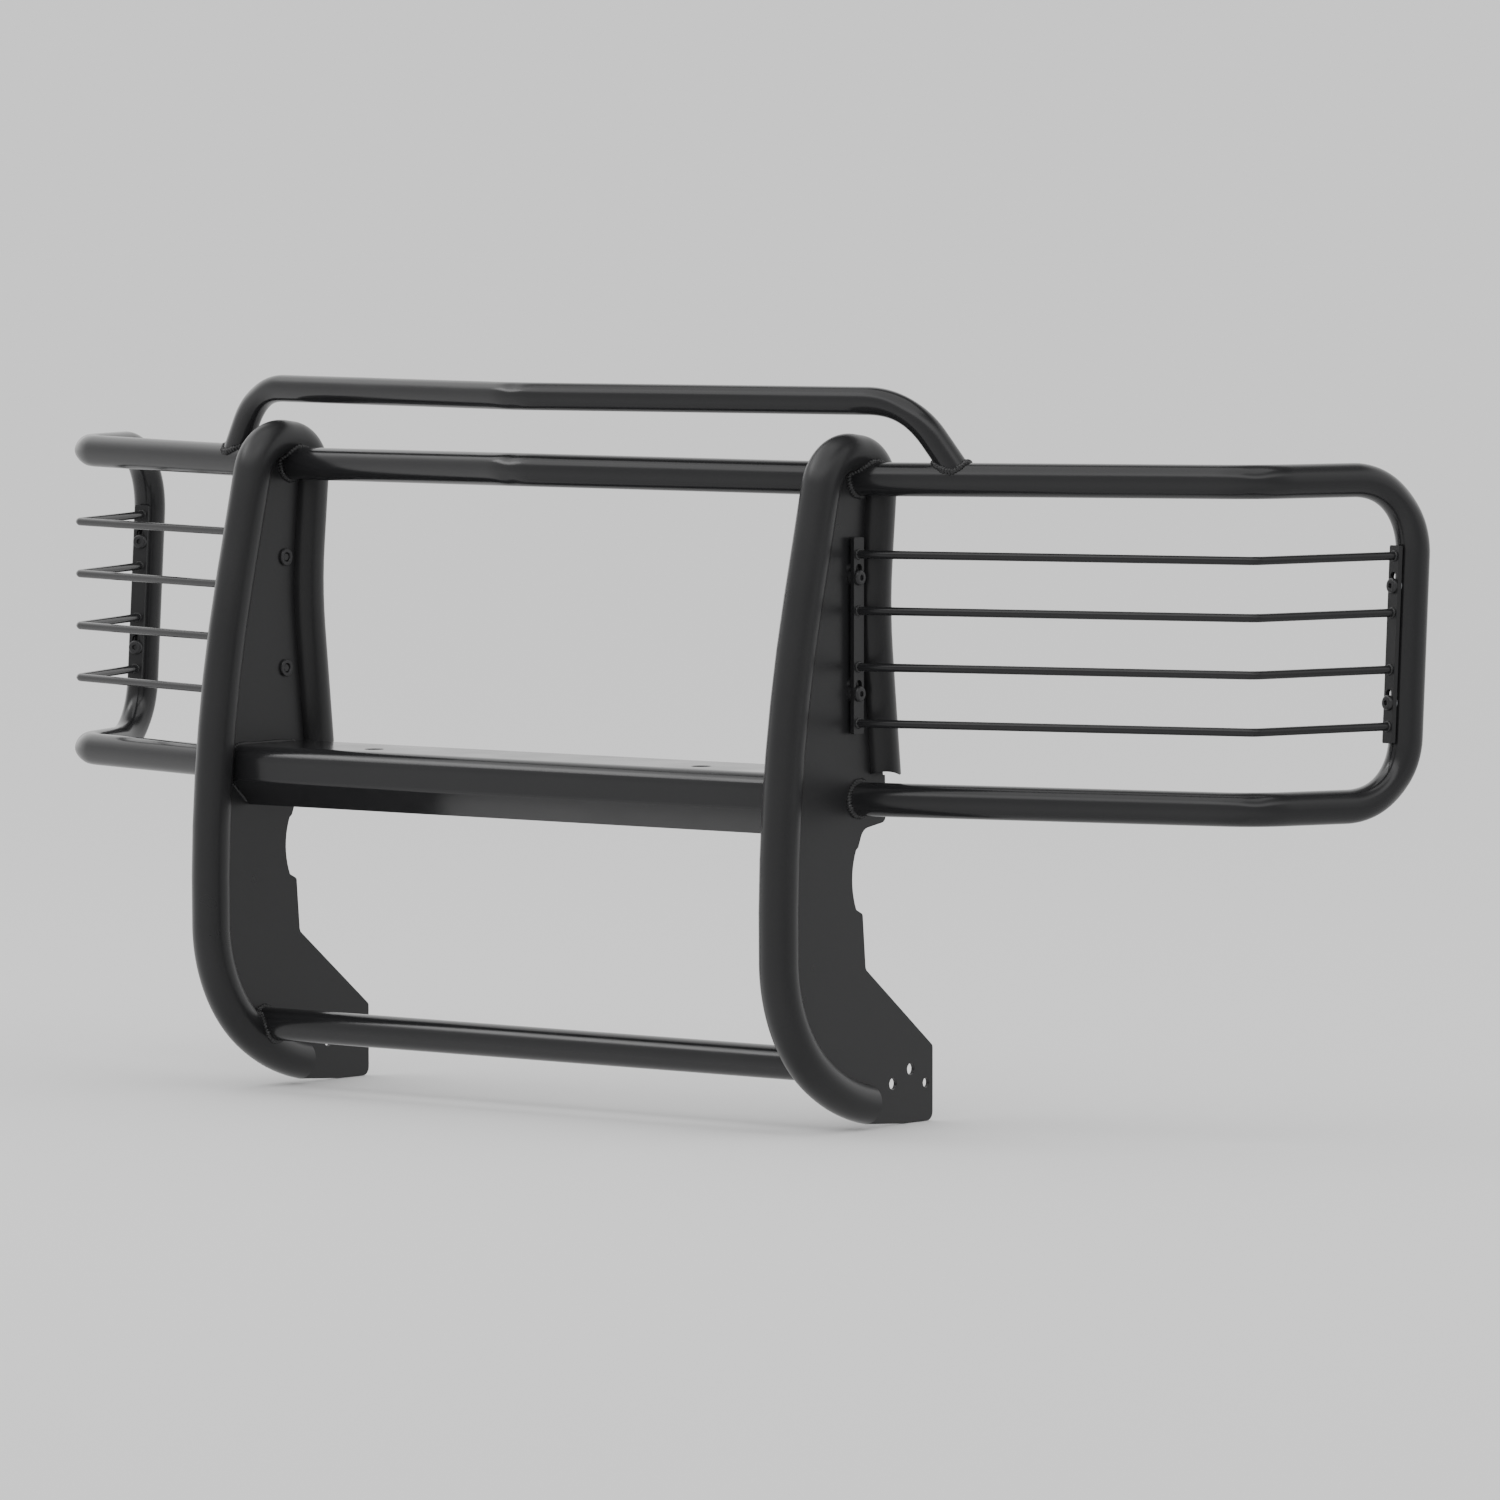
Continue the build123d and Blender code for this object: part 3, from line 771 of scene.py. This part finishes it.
@dataclass
class CrossTubes:
    """Upper and lower cross tubes and the top hoop."""

    layout: Layout
    paint: Paintwork
    uprights: Uprights
    lower_cross: tuple[float, float] = (-50.0 * MM, 74.5 * MM)
    hoop_z: float = 817.0 * MM
    hoop_foot: tuple[float, float] = (546.5 * MM, 35.0 * MM)
    hoop_corner_x: float = 487.0 * MM
    hoop_radius: float = 100.0 * MM
    bead: Bead = Bead()

    def upper_corners(self) -> list[np.ndarray]:
        """Ends and middle of the bowed upper tube."""
        lay = self.layout
        return [
            lay.at(Side.LEFT, lay.upright_x, 0, lay.upper_z),
            lay.at(Side.RIGHT, 0, -lay.bow, lay.upper_z + lay.bow_rise),
            lay.at(Side.RIGHT, lay.upright_x, 0, lay.upper_z),
        ]

    def hoop_corners(self) -> list[np.ndarray]:
        """Feet, corners and middle of the top hoop."""
        lay = self.layout
        corner_y = lay.bow * (self.hoop_corner_x / lay.upright_x - 1)
        return [
            lay.at(Side.LEFT, *self.hoop_foot, lay.upper_z),
            lay.at(Side.LEFT, self.hoop_corner_x, corner_y, self.hoop_z),
            lay.at(Side.RIGHT, 0, -lay.bow, self.hoop_z),
            lay.at(Side.RIGHT, self.hoop_corner_x, corner_y, self.hoop_z),
            lay.at(Side.RIGHT, *self.hoop_foot, lay.upper_z),
        ]

    def build(self) -> None:
        """Builds the three tubes and the beads at their ends."""
        lay = self.layout
        up = np.array([0, 0, 1.0])
        upper = Route.through(self.upper_corners(), [lay.bow_radius], up)
        self.paint.dress(
            make_piece("upper_cross_tube_bent", [lay.tube.patch(upper)]),
            self.paint.tube, Slot.COAT, "upper_cross_tube",
        )
        ends = [lay.at(side, lay.upright_x, *self.lower_cross) for side in (Side.LEFT, Side.RIGHT)]
        lower = Route(ends[0], ends[1] - ends[0], up).straight(2 * lay.upright_x)
        self.paint.dress(
            make_piece("lower_cross_tube_round", [lay.tube.patch(lower)]),
            self.paint.tube, Slot.COAT, "lower_cross_tube",
        )
        radii = [self.hoop_radius, lay.bow_radius, self.hoop_radius]
        corners = self.hoop_corners()
        hoop = Route.through(corners, radii, np.array([1.0, 0, 0]))
        self.paint.dress(
            make_piece("top_hoop_bent", [lay.hoop_tube.patch(hoop)]),
            self.paint.tube, Slot.COAT, "top_hoop",
        )
        beads = []
        for side, end in ((Side.LEFT, 0), (Side.RIGHT, -1)):
            top = self.upper_corners()
            ring = self.uprights.joint_ring(side, top[end], top[1] - top[end], lay.tube.outer)
            beads.append(self.bead.patch(*ring))
            inboard = np.array([-side.value, 0, 0])
            beads.append(self.bead.patch(*self.uprights.joint_ring(side, ends[end], inboard, lay.tube.outer)))
        self.paint.dress(make_piece("cross_tube_welds", beads), self.paint.weld, Slot.COAT)
        feet = [self.foot_bead(side, corners) for side in Side]
        self.paint.dress(make_piece("top_hoop_welds", feet), self.paint.weld, Slot.COAT)

    def foot_bead(self, side: Side, corners: list[np.ndarray]) -> Patch:
        """Bead round a hoop leg where it stands on the wing tube.

        Each line down the leg's skin is followed to the wing tube's skin, from the quadratic
        for a line and a cylinder, taking the upper of its two crossings.

        Args:
            side: which leg.
            corners: the hoop's corners, feet first and last.

        Returns:
            The bead's surface.
        """
        lay = self.layout
        foot, corner = (corners[0], corners[1]) if side is Side.LEFT else (corners[-1], corners[-2])
        down = unit(foot - corner)
        across = unit(np.cross(down, [0, 1.0, 0]))
        angle = np.linspace(0, 2 * pi, 160, endpoint=False)[:, None]
        out = across * np.cos(angle) + np.cross(down, across) * np.sin(angle)
        ring = foot + out * lay.hoop_tube.outer / 2
        root = lay.at(side, lay.upright_x, 0, lay.upper_z)
        run = unit(lay.at(side, *lay.wing_bend, lay.upper_z + lay.wing_rise) - root)
        off = ring - root
        off = off - run * (off @ run)[:, None]
        fall = down - run * (down @ run)
        square, half = fall @ fall, off @ fall
        depth = np.maximum(half**2 - square * ((off**2).sum(1) - (lay.tube.outer / 2) ** 2), 0)
        return self.bead.patch(ring + down * ((-half - np.sqrt(depth)) / square)[:, None], out)


@dataclass
class LampChannel:
    """Folded light-bar channel: its CAD shape, and the beads that join it to the uprights."""

    layout: Layout
    paint: Paintwork
    uprights: Uprights
    section: tuple = (
        (6.0, 403.5), (-94.0, 403.5), (-106.7, 398.2), (-112.0, 385.5), (-112.0, 365.0), (-80.0, 336.3),
    )
    bead: Bead = Bead(width=3.0 * MM)

    def build(self) -> None:
        """Finishes the channel and lays a bead down its section at each end."""
        self.paint.dress_node("light_bar_channel", self.paint.sheet)
        beads = [self.end_bead(side) for side in Side]
        self.paint.dress(make_piece("light_bar_channel_welds", beads), self.paint.weld, Slot.COAT)

    def end_bead(self, side: Side) -> Patch:
        """Bead along the channel's outer section, where it meets the upright's inboard skin."""
        section = np.array(self.section) * MM
        laid = np.concatenate([[0], np.cumsum(np.linalg.norm(np.diff(section, axis=0), axis=1))])
        spots = np.linspace(0, laid[-1], 160)
        behind = np.interp(spots, laid, section[:, 0])
        height = np.interp(spots, laid, section[:, 1])
        line = np.stack([0 * spots, self.layout.root_y + behind, height], axis=1)
        inboard = self.layout.upright_x - self.uprights.skin_height(line)
        line[:, 0] = side.value * inboard
        out = np.stack([0 * spots - side.value, np.gradient(height), -np.gradient(behind)], axis=1)
        out[:, 1:] = unit(out[:, 1:])
        return self.bead.patch(line, unit(out), closed=False)


@dataclass
class Wing:
    """One side's wrap-around tube, brush rods, slotted strips and fasteners."""

    layout: Layout
    paint: Paintwork
    uprights: Uprights
    side: Side
    rod_heights: tuple = (646.0 * MM, 583.0 * MM, 520.0 * MM, 457.0 * MM)
    rod_bend: tuple[float, float] = (882.5 * MM, 126.0 * MM)
    rod_radius: float = 16.0 * MM
    strip: float = 5.0 * MM
    spacer: float = 4.0 * MM
    flange: float = 1.5 * MM
    inner_behind: float = -12.0 * MM
    inner_z: float = 555.0 * MM
    outer_z: float = 548.0 * MM
    outer_turn: float = radians(19.0)
    bolt_step: float = 65.0 * MM
    inner_bolt: float = 15.5 * MM
    outer_bolt: float = 22.0 * MM
    turned_crease: float = 30.0
    rod_bead: Bead = Bead(width=1.7 * MM, pitch=1.9 * MM, ripple=0.2, columns=10, rows_per_drop=5)
    tube_bead: Bead = Bead()

    def name(self, piece: str) -> str:
        """A piece's name with its side."""
        return f"{self.side.label}_{piece}"

    def tube_corners(self) -> list[np.ndarray]:
        """Corners of the wing tube's centre line, from the plate round to the plate."""
        lay = self.layout
        high = lay.upper_z + lay.wing_rise
        return [
            lay.at(self.side, lay.upright_x, 0, lay.upper_z),
            lay.at(self.side, *lay.wing_bend, high),
            lay.at(self.side, *lay.wing_top, high),
            lay.at(self.side, *lay.wing_low, lay.lower_z),
            lay.at(self.side, *lay.wing_bend, lay.lower_z),
            lay.at(self.side, lay.upright_x, 0, lay.lower_z),
        ]

    def outer_seat(self) -> Seat:
        """Line of the wing's upright run, facing forward and a little to the side."""
        top, low = self.tube_corners()[2:4]
        climb = unit(top - low)
        middle = low + climb * ((self.outer_z - self.layout.lower_z) / climb[2])
        facing = np.array([-self.side.value * sin(self.outer_turn), -cos(self.outer_turn), 0])
        return Seat(middle, unit(facing - climb * (facing @ climb)), climb)

    def inner_seat(self) -> Seat:
        """Outboard face of the upright plate at the middle of the inner strip."""
        face = self.layout.upright_x + self.layout.plate / 2
        origin = self.layout.at(self.side, face, self.inner_behind, self.inner_z)
        return Seat(origin, np.array([self.side.value, 0, 0.0]), np.array([0, 0, 1.0]))

    def build(self) -> None:
        """Builds the wing's tube, rods, welds and fasteners, and finishes its CAD pieces."""
        self.build_tube()
        self.build_rods()
        self.build_fasteners()
        for strip in ("inner_strip", "outer_strip"):
            self.paint.dress_node(self.name(strip), self.paint.flat)
        self.paint.dress_node(self.name("spacer_washers"), self.paint.bolt)
        self.paint.dress_node(self.name("threaded_inserts"), self.paint.plating)

    def build_tube(self) -> None:
        """Wing tube with crushed bends, and a bead where each end meets the upright."""
        lay = self.layout
        corners = self.tube_corners()
        radius = lay.wing_radius
        route = Route.through(corners, [radius] * 4, np.array([0, 0, 1.0]))
        tube = make_piece(self.name("wing_tube_bent"), [lay.tube.patch(route)])
        self.paint.dress(tube, self.paint.tube, Slot.COAT, self.name("wing_tube"))
        beads = [
            self.tube_bead.patch(*self.uprights.joint_ring(self.side, end, after - end, lay.tube.outer))
            for end, after in ((corners[0], corners[1]), (corners[-1], corners[-2]))
        ]
        self.paint.dress(make_piece(self.name("wing_tube_welds"), beads), self.paint.weld, Slot.COAT)

    def rod_corners(self, height: float) -> list[np.ndarray]:
        """Start on the inner strip, the bend, and the end on the outer strip."""
        inner, outer = self.inner_seat(), self.outer_seat()
        start = np.array([*inner.origin[:2], height]) + inner.out * (self.spacer + self.strip)
        finish = outer.origin + outer.up * ((height - outer.origin[2]) / outer.up[2])
        finish = finish + outer.out * (self.layout.tube.outer / 2 + self.flange + self.strip)
        return [start, self.layout.at(self.side, *self.rod_bend, height), finish]

    def build_rods(self) -> None:
        """Four bent rods, each with a small bead round both of its ends."""
        rod = self.layout.rod
        beads = []
        for number, height in enumerate(self.rod_heights, start=1):
            corners = self.rod_corners(height)
            route = Route.through(corners, [self.rod_radius], np.array([0, 0, 1.0]))
            name = self.name(f"brush_rod_{number}")
            self.paint.dress(make_piece(f"{name}_bent", [rod.patch(route)]), self.paint.tube, Slot.COAT, name)
            beads += [self.rod_end_bead(corners[0], corners[1], self.inner_seat())]
            beads += [self.rod_end_bead(corners[2], corners[1], self.outer_seat())]
        self.paint.dress(make_piece(self.name("brush_rod_welds"), beads), self.paint.weld, Slot.COAT)

    def rod_end_bead(self, end: np.ndarray, bend: np.ndarray, seat: Seat) -> Patch:
        """Bead round a rod's end, from its skin's lines followed onto the strip's flat face.

        Args:
            end: the rod's end on the strip.
            bend: the rod's bend, which it heads for.
            seat: the strip's place.

        Returns:
            The bead's surface.
        """
        heading = unit(bend - end)
        across = unit(np.cross(heading, seat.up))
        angle = np.linspace(0, 2 * pi, 60, endpoint=False)[:, None]
        out = across * np.cos(angle) + np.cross(heading, across) * np.sin(angle)
        ring = end + out * self.layout.rod.outer / 2
        reach = ((end - ring) @ seat.out) / (heading @ seat.out)
        return self.rod_bead.patch(ring + heading * reach[:, None], out)

    def build_fasteners(self) -> None:
        """Button-head bolts on both strips, and press nuts behind the plate."""
        inner, outer = self.inner_seat(), self.outer_seat()
        steps = (-self.bolt_step, self.bolt_step)
        rows = (
            ("inner_bolts", self.inner_bolt, inner, self.spacer + self.strip),
            ("outer_bolts", self.outer_bolt, outer, self.layout.tube.outer / 2 + self.flange + self.strip),
        )
        for piece, length, seat, under in rows:
            self.dress_turned(piece, [ButtonBolt(length).patch(seat, step, under) for step in steps])
        back = Seat(inner.origin - inner.out * self.layout.plate, -inner.out, inner.up)
        self.dress_turned("press_nuts", [PressNut().patch(back, step) for step in steps])

    def dress_turned(self, piece: str, patches: list[Patch]) -> None:
        """Makes and finishes turned fasteners that stand for a CAD node of this side."""
        turned = make_piece(f"{self.name(piece)}_turned", patches, self.turned_crease)
        self.paint.dress(turned, self.paint.bolt, Slot.FASTENER, self.name(piece))


@dataclass(frozen=True)
class ButtonBolt:
    """Button-head bolt with a hexagon socket, turned round its axis."""

    length: float
    shank: float = 10.0 * MM
    head: float = 17.5 * MM
    height: float = 4.2 * MM
    dome: float = 2.8 * MM
    socket: float = 6.0 * MM
    socket_depth: float = 2.6 * MM
    tip: float = 1.0 * MM
    columns: int = 60

    def patch(self, seat: Seat, offset: float, under: float) -> Patch:
        """Rows from the shank's tip up to the socket's floor.

        The head's dome is a quarter ellipse from its rim to its flat top, and the socket's
        rows are hexagons.

        Args:
            seat: where the bolt stands.
            offset: how far up the seat its axis lies.
            under: height of the head's underside over the seat.

        Returns:
            The bolt's surface.
        """
        turn = np.linspace(0, pi / 2, 9)
        flat = self.head / 2 - self.dome
        dome_r = flat + self.dome * np.cos(turn)
        dome_z = self.height - self.dome + self.dome * np.sin(turn)
        radii = [self.shank / 2 - self.tip, self.shank / 2, self.shank / 2, self.head / 2, *dome_r]
        heights = [-self.length, self.tip - self.length, 0, 0, *dome_z]
        rows = np.repeat(np.array(radii)[:, None], self.columns, axis=1)
        hexes = np.repeat(hexagon(self.socket, self.columns)[None], 3, axis=0)
        hexes[0] += 0.3 * MM
        rows = np.concatenate([rows, hexes])
        heights += [self.height, self.height - 0.3 * MM, self.height - self.socket_depth]
        return turned_patch(seat, offset, rows, under + np.array(heights))


@dataclass(frozen=True)
class PressNut:
    """Round nut pressed into the plate, with a plain bore that the bolt's end shows in."""

    shank: float = 13.0 * MM
    shank_height: float = 4.8 * MM
    flange: float = 20.4 * MM
    height: float = 3.2 * MM
    chamfer: float = 0.8 * MM
    bore: float = 10.2 * MM
    columns: int = 60

    def patch(self, seat: Seat, offset: float) -> Patch:
        """Rings from the shank's foot out over the chamfered flange and back down the bore.

        Args:
            seat: the plate's face that it stands on.
            offset: how far up the seat its axis lies.

        Returns:
            The nut's surface, joined round into a ring.
        """
        shank, flange, bore = self.shank / 2, self.flange / 2, self.bore / 2
        foot, top, step = -self.shank_height, self.height, self.chamfer
        radii = [bore, shank, shank, flange, flange, flange - step, bore + step, bore]
        heights = [foot, foot, 0, 0, top - step, top, top, top - step]
        rows = np.repeat(np.array(radii)[:, None], self.columns, axis=1)
        return Patch(turned_patch(seat, offset, rows, np.array(heights)).points, ring=True)


# ---- studio ---------------------------------------------------------------------------------


@dataclass(frozen=True)
class Softbox:
    """Square area light aimed at a point on the guard."""

    name: str
    place: tuple[float, float, float]
    size: tuple[float, float]
    watts: float
    aim: tuple[float, float, float] = (0.0, 0.0, 0.45)

    def build(self) -> None:
        """Adds the light to the scene."""
        lamp = bpy.data.lights.new(self.name, "AREA")
        lamp.shape = "RECTANGLE"
        lamp.size, lamp.size_y = self.size
        lamp.energy = self.watts
        holder = bpy.data.objects.new(self.name, lamp)
        holder.location = self.place
        aim = Vector(self.aim) - Vector(self.place)
        holder.rotation_euler = aim.to_track_quat("-Z", "Y").to_euler()
        bpy.context.scene.collection.objects.link(holder)


@dataclass
class Studio:
    """Pale floor, pale surround, softboxes and the camera.

    Attributes:
        floor_span: the floor's side.
        floor_drop: how far the floor lies under the feet.
        floor_shade: the floor's grey.
        surround: strength of the even surround.
        ramp_top: brightness at the top of each ramp's curve.
        turn_back: backward parts of a direction between which the front ramp gives way.
        side_ramp: brightness from the left (-90 degrees) to the right (90 degrees).
        front_ramp: brightness by elevation in front.
        back_ramp: brightness by elevation behind.
        softboxes: the area lights.
        lens: focal length in millimetres.
        sensor: sensor width in millimetres.
        camera_place: where the camera stands.
        camera_view: the direction that it looks in.
    """

    floor_span: float = 120.0
    floor_drop: float = 0.5 * MM
    floor_shade: float = 0.88
    surround: float = 1.15
    ramp_top: float = 4.0
    turn_back: tuple[float, float] = (-0.25, 0.30)
    side_ramp: tuple = ((-90, 1.45), (-62, 1.2), (-40, 1.05), (64, 0.6), (90, 0.5))
    front_ramp: tuple = (
        (-90, 0.6), (-30, 0.95), (-12, 0.9), (0, 0.8), (18, 0.7),
        (30, 0.8), (42, 2.7), (50, 2.5), (60, 1.1), (90, 0.8),
    )
    back_ramp: tuple = (
        (-90, 0.8), (-20, 0.9), (-3, 1.0), (3, 1.3), (15, 1.4),
        (38, 1.5), (52, 0.5), (62, 0.2), (74, 0.5), (90, 0.8),
    )
    softboxes: tuple[Softbox, ...] = (
        Softbox("overhead_softbox", (0.0, -0.6, 4.2), (4.0, 3.0), 26.0),
        Softbox("left_softbox", (-4.2, -2.6, 4.6), (3.0, 1.2), 22.0),
    )
    lens: float = 236.0
    sensor: float = 36.0
    camera_place: tuple[float, float, float] = (7.2663, -8.6925, 1.1109)
    camera_view: tuple[float, float, float] = (-0.62986, 0.77422, -0.06220)

    def build(self) -> None:
        """Sets up everything that isn't part of the guard."""
        self.build_floor()
        self.build_surround()
        for softbox in self.softboxes:
            softbox.build()
        self.build_camera()

    def build_floor(self) -> None:
        """Plain pale floor, a single square face just under the feet, left out of the gloss."""
        corners = np.array([(-1, -1, 0), (1, -1, 0), (1, 1, 0), (-1, 1, 0)]) * self.floor_span / 2
        corners[:, 2] = -self.floor_drop
        mesh = bpy.data.meshes.new("pale_floor")
        mesh.from_pydata(corners.tolist(), [], [(0, 1, 2, 3)])
        floor = bpy.data.objects.new("pale_floor", mesh)
        bpy.context.scene.collection.objects.link(floor)
        material = bpy.data.materials.new("pale_floor")
        material.use_nodes = True
        shader = material.node_tree.nodes["Principled BSDF"]
        shader.inputs["Base Color"].default_value = (self.floor_shade, self.floor_shade, self.floor_shade, 1)
        shader.inputs["Roughness"].default_value = 1.0
        shader.inputs["Specular IOR Level"].default_value = 0.0
        mesh.materials.append(material)
        floor.visible_glossy = False

    def build_surround(self) -> None:
        """Pale surround that looks even, and whose reflection is a soft studio.

        What the gloss reflects is a mix of two elevation ramps, one in front and one behind,
        by how far a direction points back, times a fall-off from left to right. Seen straight
        on, the surround is as bright as the lit floor, so that no horizon shows.
        """
        world = bpy.data.worlds.new("pale_surround")
        bpy.context.scene.world = world
        world.use_nodes = True
        wiring = Wiring(world.node_tree)
        towards = wiring.add("ShaderNodeSeparateXYZ")
        wiring.join(wiring.add("ShaderNodeTexCoord").outputs["Generated"], towards.inputs[0])
        mix = wiring.mixed("FLOAT", wiring.ranged(towards.outputs["Y"], self.turn_back, (0.0, 1.0)))
        wiring.join(self.ramp(wiring, towards.outputs["Z"], self.front_ramp), mix.inputs["A"])
        wiring.join(self.ramp(wiring, towards.outputs["Z"], self.back_ramp), mix.inputs["B"])
        sideways = self.ramp(wiring, towards.outputs["X"], self.side_ramp)
        studio = wiring.add("ShaderNodeBackground")
        wiring.join(wiring.product(mix.outputs["Result"], sideways), studio.inputs["Strength"])
        path = wiring.add("ShaderNodeLightPath")
        seen = (self.surround, self.surround * self.floor_shade)
        even = world.node_tree.nodes["Background"]
        even.inputs["Color"].default_value = (1, 1, 1, 1)
        wiring.join(wiring.ranged(path.outputs["Is Camera Ray"], (0.0, 1.0), seen), even.inputs["Strength"])
        choose = wiring.add("ShaderNodeMixShader")
        wiring.join(path.outputs["Is Glossy Ray"], choose.inputs[0])
        wiring.join(even.outputs[0], choose.inputs[1])
        wiring.join(studio.outputs[0], choose.inputs[2])
        wiring.join(choose.outputs[0], world.node_tree.nodes["World Output"].inputs["Surface"])

    def ramp(self, wiring: Wiring, part: bpy.types.NodeSocket, stops: tuple) -> bpy.types.NodeSocket:
        """Brightness as a smooth curve through a few stops.

        The curve runs over the direction's part, which is the sine of its angle.

        Args:
            wiring: the tree to build in.
            part: one part of the direction, from -1 to 1.
            stops: pairs of degrees and brightness.

        Returns:
            The brightness.
        """
        curve = wiring.add("ShaderNodeFloatCurve")
        wiring.join(wiring.ranged(part, (-1.0, 1.0), (0.0, 1.0)), curve.inputs["Value"])
        points = curve.mapping.curves[0].points
        places = [(0.5 + 0.5 * sin(radians(angle)), level / self.ramp_top) for angle, level in stops]
        points[0].location, points[1].location = places[:2]
        for place in places[2:]:
            points.new(*place)
        curve.mapping.update()
        return wiring.product(curve.outputs[0], self.ramp_top)

    def build_camera(self) -> None:
        """Long lens, level horizon."""
        data = bpy.data.cameras.new("camera")
        data.lens = self.lens
        data.sensor_width = self.sensor
        data.clip_end = 100.0
        camera = bpy.data.objects.new("camera", data)
        camera.location = self.camera_place
        camera.rotation_euler = Vector(self.camera_view).to_track_quat("-Z", "Y").to_euler()
        bpy.context.scene.collection.objects.link(camera)
        bpy.context.scene.camera = camera


def main() -> None:
    """Builds the guard's looks, part by part, and then the studio."""
    logging.basicConfig(level=logging.INFO, format="%(name)s: %(message)s")
    layout = Layout()
    paint = Paintwork()
    uprights = Uprights(layout, paint)
    uprights.build()
    CrossTubes(layout, paint, uprights).build()
    LampChannel(layout, paint, uprights).build()
    for side in Side:
        Wing(layout, paint, uprights, side).build()
    Studio().build()


if __name__ == "__main__":
    main()
